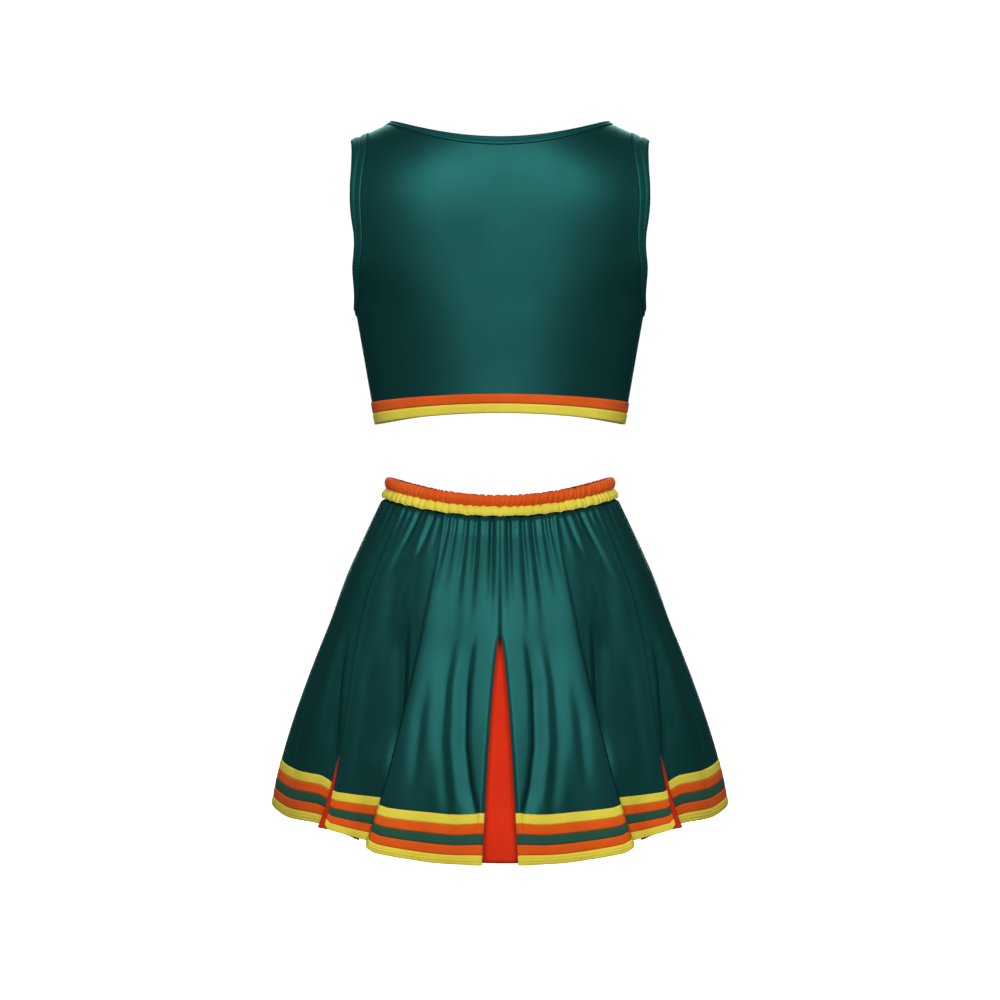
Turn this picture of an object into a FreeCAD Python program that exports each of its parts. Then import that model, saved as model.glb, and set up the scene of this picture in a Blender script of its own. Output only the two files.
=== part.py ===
"""Two-piece cheer uniform: a sleeveless shell top and a twelve-gore flare skirt with pleat insets.

All sizes are in millimetres. +Z is up and the wearer faces -Y, so +X is the wearer's left.
The origin is the middle of the skirt's waist opening, half way up the waistband.
"""

import FreeCAD
import Part

import math
import os

from FreeCAD import Vector

# ---- Waistband: two elasticated casings, one above the other
WAIST_HALF_WIDTH = 123.0
WAIST_HALF_DEPTH = 95.0
WAIST_SIDE_HEIGHT = 9.0        # the waistline is highest at the side seams
BACK_DIP = 17.0                # and dips towards the middle of the back
FRONT_DIP = 22.0               # and further towards the middle of the front
UPPER_CASING_HEIGHT = 12.0
LOWER_CASING_HEIGHT = 10.0
CASING_THICKNESS = 4.0
CASING_FLARE = 5.0             # the lower casing stands out over the skirt's gathers
ELASTIC_THICKNESS = 1.4
ELASTIC_MARGIN = 2.0           # casing fabric above and below the elastic

# ---- Skirt: twelve gores with a colour inset behind each seam
HEM_HALF_WIDTH = 249.0
HEM_HALF_DEPTH = 254.0
SIDE_HEM_HEIGHT = -336.5
BACK_HEM_DROP = 12.5
FRONT_HEM_DROP = 8.5
FLARE_POWER = 1.3              # the skirt spreads quickly over the hip and then falls straighter
HEM_SQUARENESS = 1.5           # plan shape at the hem; 2 is an ellipse, 1 a diamond
FABRIC = 1.0
ROWS = 11                      # poles down a gore or an inset
COLUMNS = 11                   # and across it
WAIST_GAP = 2.3                # between the lower casing and the hanging gores
WAIST_TUCK = 2.0               # and how far inside the casing's lower edge they start
CENTRE_GAP_START = 0.36        # the inverted pleats open below this share of the skirt's length
CENTRE_GAP_HALF = 17.4
SIDE_GAP_HALF = 6.0
SEAM_GAP_HALF = 1.0
SKIRT_SLANT = 350.0
INNER_SEAM = (26.0, 12.0)      # degrees round to a gore's seam at the waist, and added by the hem
OUTER_SEAM = (52.5, -2.5)
SEAM_OVERLAP = 0.4             # degrees that a gore runs on under its neighbour at the waist
PLEAT_OVERLAP = 4.0            # and adds by the hem
OVER_LIFT = (3.0, 7.0)         # how far a gore's free edge stands out, at the waist and added
UNDER_DROP = (2.0, 4.0)        # how far its other edge lies in
HIP_SWING = 3.0                # degrees that the outer seam swings out over the hip

# ---- Pleat insets, which hang inside the gores
INSET_DEPTH = (7.0, 8.0)       # inside the skirt's mean surface at the waist, and added at the hem
OUTER_BACK_DEPTH = (8.0, -3.5)  # the same for the second seam's inset, behind its seam
OUTER_FRONT_DEPTH = (13.5, 12.0)  # and past it
INSET_ROUND = 30.0             # rounding of an inverted pleat's inset across the middle
INVERTED_INSET_TOP = 8.0       # half widths at the waist and at the hem
INVERTED_INSET_HEM = 66.0
BACK_WINGS = (10.0, 9.5)       # degrees that a knife pleat's inset reaches behind its seam
FRONT_WINGS = (5.5, 6.0)       # and past it, at the hem

# ---- Hem braid: two yellow and two orange bands with the green gore between them
STRIPE = 10.2
BRAID_THICKNESS = 0.7
BRAID_GAP = 0.1
YELLOW_STRIPES = (0, 4)
ORANGE_STRIPES = (1, 3)

# ---- Top: a shell cut from one torso surface, 1.6 mm thick with its lining
SHELL = 1.6
HALF_OVERRUN = 1.0
TORSO_BOTTOM = 50.0
TORSO_POLES = 25               # up the torso, and across its back or front
RIDGE = 444.6                  # height that the two shoulder lines would meet at
SHOULDER_SLOPE = 0.464
SHOULDER_ROUND = 35.0
HEM_WIDTH_HALF = 133.0
TORSO_HALF_DEPTH = 86.0
SIDE_TAPER = 0.172             # growth in half width for each millimetre up the side seam
TAPER_START = 63.0
UNDERARM_HEIGHT = 196.0
UNDERARM_SPREAD = 10.0         # further growth beside the armhole's lower end
SHOULDER_SPREAD = 13.0         # and up to the shoulders
BACK_SWELL = 8.0               # growth in half depth up to the shoulder blades
CHEST_SWELL = 26.0             # and up to the chest
CHEST_HEIGHT = 150.0           # above here the torso's plan turns squarer
SQUARER = 0.7
CLOSING_HEIGHT = 225.0         # above here the front and the back draw together
SHOULDER_START = 186.0         # and above here each level bends down towards the shoulders
ARMHOLE_MIDDLE = 294.0
ARMHOLE_HALF_HEIGHT = 90.0
ARMHOLE_HALF_DEPTH = 52.0
NECK_HALF_WIDTH = 118.0
NECK_POINT_HEIGHT = 404.4
BACK_NECK_HEIGHT = 375.0
FRONT_NECK_HEIGHT = 305.0
BINDING = 9.0
BACK_HEM_MIDDLE = 88.5         # the top's hem arches up at the middle of the back
FRONT_HEM_MIDDLE = 94.0        # and a little more in front
TOP_HEM_SIDE = 77.5
TOP_BAND = 10.0


def smooth(t):
    """A step from 0 to 1 that starts and ends level."""
    t = max(0.0, min(1.0, t))
    return t * t * (3.0 - 2.0 * t)


def closed_solid(faces):
    """Sew faces that share their borders into one solid with its faces outward."""
    shell = Part.makeShell(faces)
    shell.sewShape()
    solid = Part.Solid(Part.Shell(shell.Faces))
    if solid.Volume < 0:
        solid.reverse()
    return solid


def knots_for(count):
    """The distinct knots of a clamped cubic spline with that many poles, and how often each
    repeats."""
    inner = count - 4
    return [i / (inner + 1) for i in range(inner + 2)], [4] + [1] * inner + [4]


def stations(count):
    """Where along 0 to 1 each pole of a clamped cubic spline belongs, so that the spline's own
    parameter runs evenly."""
    knots, repeats = knots_for(count)
    full = [knot for knot, repeat in zip(knots, repeats) for _ in range(repeat)]
    return [sum(full[i + 1:i + 4]) / 3 for i in range(count)]


def surface_over(rows):
    """A smooth cubic surface led by a grid of points taken at the stations."""
    row_knots, row_repeats = knots_for(len(rows))
    column_knots, column_repeats = knots_for(len(rows[0]))
    surface = Part.BSplineSurface()
    surface.buildFromPolesMultsKnots(rows, row_repeats, column_repeats, row_knots, column_knots,
                                     False, False, 3, 3)
    return surface


def sheet_between(outer_rows, inner_rows, start=0.0, end=1.0):
    """A cloth-thin solid between two surfaces, from start to end down their length."""
    faces = []
    borders = []
    for rows in (outer_rows, inner_rows):
        surface = surface_over(rows)
        if (start, end) != (0.0, 1.0):
            surface.segment(start, end, 0.0, 1.0)
        u0, u1, v0, v1 = surface.bounds()
        faces.append(surface.toShape())
        curves = [surface.uIso(u0), surface.vIso(v1), surface.uIso(u1), surface.vIso(v0)]
        borders.append([curve.toShape() for curve in curves])
    rims = [Part.makeRuledSurface(a, b) for a, b in zip(*borders)]
    return closed_solid(faces + rims)


def save(name, solids):
    shape = solids[0] if len(solids) == 1 else Part.makeCompound(solids)
    box = shape.BoundBox
    print(f"{name:28s} valid {shape.isValid()}  {shape.Volume:9.0f} mm3  "
          f"x {box.XMin:.0f}..{box.XMax:.0f}  y {box.YMin:.0f}..{box.YMax:.0f}  "
          f"z {box.ZMin:.0f}..{box.ZMax:.0f}")
    shape.exportStep(f"parts/{name}.step")


# ---- Waistband ---------------------------------------------------------------------------------

def waist_height(cos_phi):
    """Height of the middle of the waistband, from where round the waist it is."""
    dip = BACK_DIP if cos_phi > 0 else FRONT_DIP
    return WAIST_SIDE_HEIGHT - dip * cos_phi * cos_phi


def waist_loop(grow, rise):
    """A closed curve round the waist, grown outward and raised from the middle line."""
    points = []
    for step in range(36):
        phi = math.radians(step * 10)
        x = (WAIST_HALF_WIDTH + grow) * math.sin(phi)
        y = (WAIST_HALF_DEPTH + grow) * math.cos(phi)
        points.append(Vector(x, y, waist_height(math.cos(phi)) + rise))
    curve = Part.BSplineCurve()
    curve.interpolate(points, True)
    return curve.toShape()


def waist_ring(top, bottom, thickness, flare=0.0, inset=0.0):
    """A flat ring round the waist whose lower edge may stand out by flare."""
    outer_top = waist_loop(-inset, top)
    outer_bottom = waist_loop(flare - inset, bottom)
    inner_top = waist_loop(-inset - thickness, top)
    inner_bottom = waist_loop(flare - inset - thickness, bottom)
    loops = [outer_top, outer_bottom, inner_bottom, inner_top]
    faces = [Part.makeRuledSurface(loops[i], loops[(i + 1) % 4]) for i in range(4)]
    return closed_solid(faces)


def make_waistband():
    top = (UPPER_CASING_HEIGHT + LOWER_CASING_HEIGHT) / 2
    seam = top - UPPER_CASING_HEIGHT
    bottom = seam - LOWER_CASING_HEIGHT
    upper = waist_ring(top, seam, CASING_THICKNESS)
    lower = waist_ring(seam, bottom, CASING_THICKNESS, CASING_FLARE)
    wall = (CASING_THICKNESS - ELASTIC_THICKNESS) / 2
    upper_elastic = waist_ring(top - ELASTIC_MARGIN, seam + ELASTIC_MARGIN, ELASTIC_THICKNESS, inset=wall)
    margin_share = ELASTIC_MARGIN / LOWER_CASING_HEIGHT
    lower_flare = CASING_FLARE * (1 - 2 * margin_share)
    lower_elastic = waist_ring(seam - ELASTIC_MARGIN, bottom + ELASTIC_MARGIN, ELASTIC_THICKNESS,
                               lower_flare, wall - CASING_FLARE * margin_share)
    save("waist_casing_orange", [upper.cut(upper_elastic).Solids[0]])
    save("waist_casing_yellow", [lower.cut(lower_elastic).Solids[0]])
    save("waist_elastic_upper", [upper_elastic])
    save("waist_elastic_lower", [lower_elastic])


# ---- Skirt -------------------------------------------------------------------------------------

def skirt_heights(cos_phi):
    """Heights of the gores' top edge and of the hem, from where round the waist they are."""
    half_band = (UPPER_CASING_HEIGHT + LOWER_CASING_HEIGHT) / 2
    top = waist_height(cos_phi) - half_band - WAIST_GAP
    drop = BACK_HEM_DROP if cos_phi > 0 else FRONT_HEM_DROP
    return top, SIDE_HEM_HEIGHT - drop * cos_phi * cos_phi


def skirt_point(phi, s, offset, side, face):
    """A point on the skirt, phi degrees round from the middle of the back or front and a share s
    of the way from waist to hem. Side is +1 on the wearer's left, face is +1 on the back."""
    spread = 1.0 - (1.0 - s) ** FLARE_POWER
    start_width = WAIST_HALF_WIDTH + CASING_FLARE - WAIST_TUCK
    start_depth = WAIST_HALF_DEPTH + CASING_FLARE - WAIST_TUCK
    a = start_width + (HEM_HALF_WIDTH - start_width) * spread
    b = start_depth + (HEM_HALF_DEPTH - start_depth) * spread
    n = 2.0 - (2.0 - HEM_SQUARENESS) * s
    sin_phi = math.sin(math.radians(phi))
    cos_phi = math.cos(math.radians(phi))
    x = a * math.copysign(abs(sin_phi) ** (2 / n), sin_phi)
    y = b * math.copysign(abs(cos_phi) ** (2 / n), cos_phi)
    nx = math.copysign(abs(x) ** (n - 1) / a ** n, x)
    ny = math.copysign(abs(y) ** (n - 1) / b ** n, y)
    length = math.hypot(nx, ny)
    x += offset * nx / length
    y += offset * ny / length
    top, hem = skirt_heights(face * abs(cos_phi))
    return Vector(side * x, face * y, top + (hem - top) * s)


def inner_seam(s):
    """Degrees round to the knife pleat between the first and second gores."""
    return INNER_SEAM[0] + INNER_SEAM[1] * s ** 1.8


def outer_seam(s):
    """Degrees round to the knife pleat between the second and third gores, which swings out
    over the hip."""
    return OUTER_SEAM[0] + OUTER_SEAM[1] * s + HIP_SWING * math.sin(math.pi * min(1.0, s / 0.66)) ** 2


def gap_opening(s):
    """How far an inverted pleat has opened, from 0 where it is sewn shut to 1 at the hem."""
    t = max(0.0, (s - CENTRE_GAP_START) / (1 - CENTRE_GAP_START))
    return t * (1.0 - 0.3 * (1.0 - t) ** 4) if t > 0 else 0.0


def gap_degrees(s, half_gap, reach):
    """Half an inverted pleat's opening, in degrees round from the middle of the pleat."""
    half = SEAM_GAP_HALF + (half_gap - SEAM_GAP_HALF) * gap_opening(s)
    n = 2.0 - (2.0 - HEM_SQUARENESS) * s
    return math.degrees(math.asin((half / reach) ** (n / 2)))


def reach_at(s, waist, hem):
    return waist + (hem - waist) * (1.0 - (1.0 - s) ** FLARE_POWER)


def gore_limits(number, s):
    """The degrees that a gore of one quarter spans at a share s of the way down."""
    under = SEAM_OVERLAP + PLEAT_OVERLAP * s
    if number == 1:
        return gap_degrees(s, CENTRE_GAP_HALF, reach_at(s, WAIST_HALF_WIDTH, HEM_HALF_WIDTH)), inner_seam(s)
    if number == 2:
        return inner_seam(s) - under, outer_seam(s)
    side_gap = gap_degrees(s, SIDE_GAP_HALF, reach_at(s, WAIST_HALF_DEPTH, HEM_HALF_DEPTH))
    return outer_seam(s) - under, 90.0 - side_gap


def gore_lift(number, u, s):
    """How far a gore stands off the skirt's mean surface: its free edge lies over the next
    gore, and its other edge lies under the last one."""
    over = (OVER_LIFT[0] + OVER_LIFT[1] * s) * smooth((u - 0.55) / 0.45)
    under = -(UNDER_DROP[0] + UNDER_DROP[1] * s) * smooth((0.45 - u) / 0.45)
    if number == 1:
        return over
    if number == 2:
        return over + under
    return under


def gore_rows(number, offset, side, face):
    rows = []
    for s in stations(ROWS):
        low, high = gore_limits(number, s)
        row = []
        for u in stations(COLUMNS):
            phi = low + (high - low) * u
            row.append(skirt_point(phi, s, gore_lift(number, u, s) + offset, side, face))
        rows.append(row)
    return rows


def make_gore(quarter, number, side, face):
    """One gore with its two yellow and two orange bands of braid sewn over it at the hem."""
    outer = gore_rows(number, 0.0, side, face)
    inner = gore_rows(number, -FABRIC, side, face)
    save(f"gore_{quarter}_{number}", [sheet_between(outer, inner)])
    under = gore_rows(number, BRAID_GAP, side, face)
    over = gore_rows(number, BRAID_GAP + BRAID_THICKNESS, side, face)
    for colour, stripes in (("yellow", YELLOW_STRIPES), ("orange", ORANGE_STRIPES)):
        bands = []
        for stripe in stripes:
            end = 1.0 - stripe * STRIPE / SKIRT_SLANT
            bands.append(sheet_between(over, under, end - STRIPE / SKIRT_SLANT, end))
        save(f"hem_braid_{colour}_{quarter}_{number}", bands)


FIRST_INSET = (inner_seam, BACK_WINGS[0], FRONT_WINGS[0], INSET_DEPTH, INSET_DEPTH)
SECOND_INSET = (outer_seam, BACK_WINGS[1], FRONT_WINGS[1], OUTER_BACK_DEPTH, OUTER_FRONT_DEPTH)


def knife_inset_rows(seam, back_wing, front_wing, back_depth, front_depth, offset, side, face):
    """The inset of a knife pleat spans from back_wing degrees before its seam to front_wing
    degrees after it at the hem, and lies inside both of its gores. A depth is a pair: the
    distance inside the skirt's mean surface at the waist and what is added at the hem."""
    rows = []
    for s in stations(ROWS):
        width = 0.12 + 0.88 * s
        row = []
        for u in stations(COLUMNS):
            phi = seam(s) + width * (front_wing * u - back_wing * (1 - u))
            back = back_depth[0] + back_depth[1] * s
            front = front_depth[0] + front_depth[1] * s
            depth = back + (front - back) * smooth(u)
            row.append(skirt_point(phi, s, offset - depth, side, face))
        rows.append(row)
    return rows


def save_knife_inset(name, shape, side, face):
    outer = knife_inset_rows(*shape, 0.0, side, face)
    inner = knife_inset_rows(*shape, -FABRIC, side, face)
    save(name, [sheet_between(outer, inner)])


def rounded_ridge(across, s, near, far):
    """Distance out to the skirt's mean surface and its slope, at a distance across from the
    middle of an inverted pleat, where the folded cloth rounds the skirt's corner off."""
    n = 2.0 - (2.0 - HEM_SQUARENESS) * s
    soft = math.hypot(across, INSET_ROUND) - INSET_ROUND
    out = near * (1 - (soft / far) ** n) ** (1 / n)
    slope = (near / far) ** n * (soft / out) ** (n - 1)
    return out, slope


def inverted_inset_rows(offset, turn, face):
    """The inset of an inverted pleat crosses the middle of the back, the front or a side. Turn
    is 0 across the back or front, +1 across the left side and -1 across the right."""
    rows = []
    for s in stations(ROWS):
        width = reach_at(s, WAIST_HALF_WIDTH + CASING_FLARE - WAIST_TUCK, HEM_HALF_WIDTH)
        length = reach_at(s, WAIST_HALF_DEPTH + CASING_FLARE - WAIST_TUCK, HEM_HALF_DEPTH)
        near, far = (width, length) if turn else (length, width)
        half = INVERTED_INSET_TOP + (INVERTED_INSET_HEM - INVERTED_INSET_TOP) * s
        row = []
        for u in stations(COLUMNS):
            across = half * (2 * u - 1)
            out, slope = rounded_ridge(across, s, near, far)
            out += (offset - INSET_DEPTH[0] - INSET_DEPTH[1] * s) * math.hypot(1, slope)
            cos_phi = across / far if turn else face * math.sqrt(1 - (across / far) ** 2)
            top, hem = skirt_heights(cos_phi)
            x, y = (turn * out, across) if turn else (across, face * out)
            row.append(Vector(x, y, top + (hem - top) * s))
        rows.append(row)
    return rows


def save_inverted_inset(name, turn, face):
    save(name, [sheet_between(inverted_inset_rows(0.0, turn, face),
                              inverted_inset_rows(-FABRIC, turn, face))])


def make_skirt():
    for quarter, side, face in (("back_left", 1, 1), ("back_right", -1, 1),
                                ("front_left", 1, -1), ("front_right", -1, -1)):
        for number in (1, 2, 3):
            make_gore(quarter, number, side, face)
        save_knife_inset(f"pleat_inset_{quarter}_1", FIRST_INSET, side, face)
        save_knife_inset(f"pleat_inset_{quarter}_2", SECOND_INSET, side, face)
    save_inverted_inset("pleat_inset_back_centre", 0, 1)
    save_inverted_inset("pleat_inset_front_centre", 0, -1)
    save_inverted_inset("pleat_inset_side_left", 1, 1)
    save_inverted_inset("pleat_inset_side_right", -1, 1)


# ---- Top ---------------------------------------------------------------------------------------

def torso_half_width(height):
    taper = SIDE_TAPER * (min(height, UNDERARM_HEIGHT) - TAPER_START)
    underarm = UNDERARM_SPREAD * smooth((height - 191) / 50)
    shoulder = SHOULDER_SPREAD * smooth((height - 250) / 125)
    return HEM_WIDTH_HALF + taper + underarm + shoulder


def torso_half_depth(height, face):
    if face > 0:
        return TORSO_HALF_DEPTH + BACK_SWELL * smooth((height - TAPER_START) / 150)
    return TORSO_HALF_DEPTH + CHEST_SWELL * smooth((height - 90) / 150)


def torso_point(phi, rise, inset, face):
    """A point on the torso, phi degrees round from the middle of the back or front and a share
    rise of the way from the bottom up to the shoulder line."""
    ridge = RIDGE - inset
    height = TORSO_BOTTOM + (ridge - TORSO_BOTTOM) * rise
    n = 2.0 + SQUARER * smooth((height - CHEST_HEIGHT) / 200)
    closing = max(0.0, (height - CLOSING_HEIGHT) / (ridge - CLOSING_HEIGHT))
    a = torso_half_width(height) - inset
    b = (torso_half_depth(height, face) - inset) * math.sqrt(max(0.0, 1 - closing ** 3))
    sin_phi = math.sin(math.radians(phi))
    x = a * math.copysign(abs(sin_phi) ** (2 / n), sin_phi)
    y = b * abs(math.cos(math.radians(phi))) ** (2 / n)
    if abs(phi) >= 90:
        y = 0.0
    slope = SHOULDER_SLOPE * (math.hypot(x, SHOULDER_ROUND) - SHOULDER_ROUND)
    z = height - slope * smooth((height - SHOULDER_START) / (RIDGE - SHOULDER_START))
    return Vector(x, face * y, z)


def torso_shell(face):
    """Half of the torso as a shell that meets the other half in the plane y = 0."""
    grids = []
    for inset in (0.0, SHELL):
        rows = []
        for station in stations(TORSO_POLES):
            rise = 1 - (1 - station) ** 1.3
            rows.append([torso_point(180 * u - 90, rise, inset, face) for u in stations(TORSO_POLES)])
        grids.append(rows)
    return sheet_between(grids[0], grids[1])


def prism_over(outline, face):
    """The solid swept out over the back or the front half by a closed outline in the XZ plane. It
    starts a little way into the other half, clear of the plane that the halves meet in."""
    plate = Part.Face(Part.Wire(outline))
    plate.translate(Vector(0, -face * HALF_OVERRUN, 0))
    return plate.extrude(Vector(0, face * 200, 0))


def armhole_cutter(side, margin):
    """An elliptical bar along X through one armhole, grown all round by margin."""
    ellipse = Part.Ellipse(Vector(0, 0, 0), ARMHOLE_HALF_HEIGHT + margin, ARMHOLE_HALF_DEPTH + margin)
    face = Part.Face(Part.Wire(ellipse.toShape()))
    face.rotate(Vector(0, 0, 0), Vector(0, 1, 0), -90)
    face.translate(Vector(side * 60, 0, ARMHOLE_MIDDLE))
    return face.extrude(Vector(side * 240, 0, 0))


def neck_cutter(margin, face):
    """The space above the neckline: a shallow scoop at the back and a deeper one in front."""
    half = NECK_HALF_WIDTH + margin
    near = Vector(half, 0, NECK_POINT_HEIGHT)
    far = Vector(-half, 0, NECK_POINT_HEIGHT)
    if face > 0:
        scoop = Part.Arc(near, Vector(0, 0, BACK_NECK_HEIGHT - margin), far)
    else:
        low = FRONT_NECK_HEIGHT - margin
        bends = ((1.0, 1.0), (0.86, 0.5), (0.5, 0.12), (0.0, 0.0), (-0.5, 0.12), (-0.86, 0.5), (-1.0, 1.0))
        scoop = Part.BSplineCurve()
        scoop.interpolate([Vector(x * half, 0, low + (NECK_POINT_HEIGHT - low) * z) for x, z in bends])
    corners = [far, Vector(-half, 0, RIDGE + 60), Vector(half, 0, RIDGE + 60), near]
    lid = [Part.LineSegment(corners[i], corners[i + 1]).toShape() for i in range(3)]
    return prism_over([scoop.toShape()] + lid, face)


def below_hem_line(rise, face):
    """The space under a line that follows the top's hem, which arches up at the middle of the
    back and a little more at the front."""
    half = 220.0
    middle = BACK_HEM_MIDDLE if face > 0 else FRONT_HEM_MIDDLE
    end = middle - (middle - TOP_HEM_SIDE) * (half / HEM_WIDTH_HALF) ** 2
    near = Vector(half, 0, end + rise)
    far = Vector(-half, 0, end + rise)
    arch = Part.Arc(near, Vector(0, 0, middle + rise), far)
    corners = [far, Vector(-half, 0, 0), Vector(half, 0, 0), near]
    sides = [Part.LineSegment(corners[i], corners[i + 1]).toShape() for i in range(3)]
    return prism_over([arch.toShape()] + sides, face)


def largest(shape):
    return max(shape.Solids, key=lambda solid: solid.Volume)


def make_top():
    """Cut the bodices, bindings and bands from the two torso shells, so that they meet edge to
    edge. What runs all round the body is made as a back half and a front half."""
    armholes = [armhole_cutter(side, 0.0) for side in (1, -1)]
    armholes_wide = [armhole_cutter(side, BINDING) for side in (1, -1)]
    pieces = {}
    for name, face in (("back", 1), ("front", -1)):
        half = torso_shell(face)
        neck_wide = neck_cutter(BINDING, face)
        hem, band_seam, bodice_seam = [below_hem_line(rise, face) for rise in (0.0, TOP_BAND, 2 * TOP_BAND)]
        pieces[f"{name}_bodice"] = [half.cut([neck_wide, bodice_seam] + armholes_wide)]
        pieces.setdefault("neck_binding", []).append(half.common(neck_wide).cut(neck_cutter(0.0, face)))
        for index, side in enumerate(("left", "right")):
            ring = half.common(armholes_wide[index]).cut(armholes[index])
            pieces.setdefault(f"armhole_binding_{side}", []).append(ring)
        pieces.setdefault("top_band_orange", []).append(half.common(bodice_seam).cut(band_seam))
        pieces.setdefault("top_band_yellow", []).append(half.common(band_seam).cut(hem))
    for name, shapes in pieces.items():
        save(name, [largest(shape) for shape in shapes])


os.makedirs("parts", exist_ok=True)
make_waistband()
make_skirt()
make_top()
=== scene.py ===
import math
import random

import bpy
from mathutils import Matrix, Vector


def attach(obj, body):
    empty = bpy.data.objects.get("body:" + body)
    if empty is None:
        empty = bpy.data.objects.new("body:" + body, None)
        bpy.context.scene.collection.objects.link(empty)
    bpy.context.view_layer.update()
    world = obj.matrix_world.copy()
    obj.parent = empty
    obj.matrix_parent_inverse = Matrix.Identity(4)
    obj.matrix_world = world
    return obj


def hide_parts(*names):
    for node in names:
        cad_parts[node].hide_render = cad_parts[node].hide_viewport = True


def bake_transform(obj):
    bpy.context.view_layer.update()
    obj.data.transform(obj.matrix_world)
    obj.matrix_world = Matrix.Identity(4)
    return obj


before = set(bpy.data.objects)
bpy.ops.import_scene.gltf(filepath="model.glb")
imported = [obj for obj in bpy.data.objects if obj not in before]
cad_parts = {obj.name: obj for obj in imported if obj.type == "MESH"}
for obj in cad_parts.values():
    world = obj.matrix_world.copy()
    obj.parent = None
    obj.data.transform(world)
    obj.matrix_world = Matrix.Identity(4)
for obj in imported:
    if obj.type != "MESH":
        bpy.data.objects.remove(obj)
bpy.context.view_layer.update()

bpy.ops.object.select_all(action="DESELECT")


# ---- Waistband casings ---------------------------------------------------------------------------
# Two tubes of stretch knit, orange above yellow, each a strip folded over a loop of elastic and
# sewn shut at its lower edge. The elastic draws them into fine upright gathers all the way round.

WAIST_HALF_WIDTH = 0.123
WAIST_HALF_DEPTH = 0.095
CASING_WALL = 0.004
CASING_TOP = 0.011
CASING_SEAM = -0.001
CASING_BOTTOM = -0.011
CASING_FLARE = 0.005
CASING_BULGE = 0.0022
SCALLOPS = 38
CASING_GATHERING = 1.15
ELASTIC_RADIUS = 0.110

ORANGE = (0.79, 0.124, 0.021)
ORANGE_SHADE = (0.58, 0.070, 0.009)
YELLOW = (0.80, 0.70, 0.088)
YELLOW_SHADE = (0.62, 0.51, 0.048)


def smooth(t):
    """A step from 0 to 1 that starts and ends level."""
    t = max(0.0, min(1.0, t))
    return t * t * (3.0 - 2.0 * t)


def mix(a, b, t):
    return a + (b - a) * t


def cloth(name, place, across, down, cut, relief=None, thickness=0.0, ring=False):
    """A sheet of cloth. place(u, v) is its outer face, for u across and v down from 0 to 1, and
    relief(u, v) raises that face. Its UV map is the cut's own size, in metres."""
    columns = across if ring else across + 1
    grid = [(i / across, j / down) for j in range(down + 1) for i in range(columns)]
    faces = []
    corners = []
    for j in range(down):
        for i in range(across):
            low = j * columns
            after = (i + 1) % columns
            faces.append((low + i, low + after, low + columns + after, low + columns + i))
            corners += [(i, j), (i + 1, j), (i + 1, j + 1), (i, j + 1)]
    mesh = bpy.data.meshes.new(name)
    mesh.from_pydata([place(u, v) for u, v in grid], [], faces)
    layer = mesh.uv_layers.new(name="cut")
    for loop, (i, j) in zip(layer.data, corners):
        loop.uv = (cut[0] * i / across, cut[1] * j / down)
    outward = sum(f.area * f.normal.dot(f.center - Vector((0, 0, f.center.z))) for f in mesh.polygons)
    if outward < 0:
        mesh.flip_normals()
    if relief:
        normals = [v.normal.copy() for v in mesh.vertices]
        for vertex, normal, (u, v) in zip(mesh.vertices, normals, grid):
            vertex.co += normal * relief(u, v)
    piece = bpy.data.objects.new(name, mesh)
    bpy.context.scene.collection.objects.link(piece)
    if thickness:
        wall = piece.modifiers.new("cloth", "SOLIDIFY")
        wall.thickness = thickness
        wall.offset = -1.0
        bpy.context.view_layer.objects.active = piece
        bpy.ops.object.modifier_apply(modifier=wall.name)
    piece.data.polygons.foreach_set("use_smooth", [True] * len(piece.data.polygons))
    return piece


def group_input(tree, name, kind, value):
    socket = tree.interface.new_socket(name=name, in_out="INPUT", socket_type=kind)
    socket.default_value = value


def math_node(tree, operation, first, second=None):
    node = tree.nodes.new("ShaderNodeMath")
    node.operation = operation
    for socket, value in zip(node.inputs, (first, second)):
        if isinstance(value, (int, float)):
            socket.default_value = value
        elif value is not None:
            tree.links.new(value, socket)
    return node.outputs[0]


def noise_node(tree, place, scale, detail):
    node = tree.nodes.new("ShaderNodeTexNoise")
    node.inputs["Scale"].default_value = scale
    node.inputs["Detail"].default_value = detail
    tree.links.new(place, node.inputs["Vector"])
    return node.outputs["Fac"]


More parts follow.
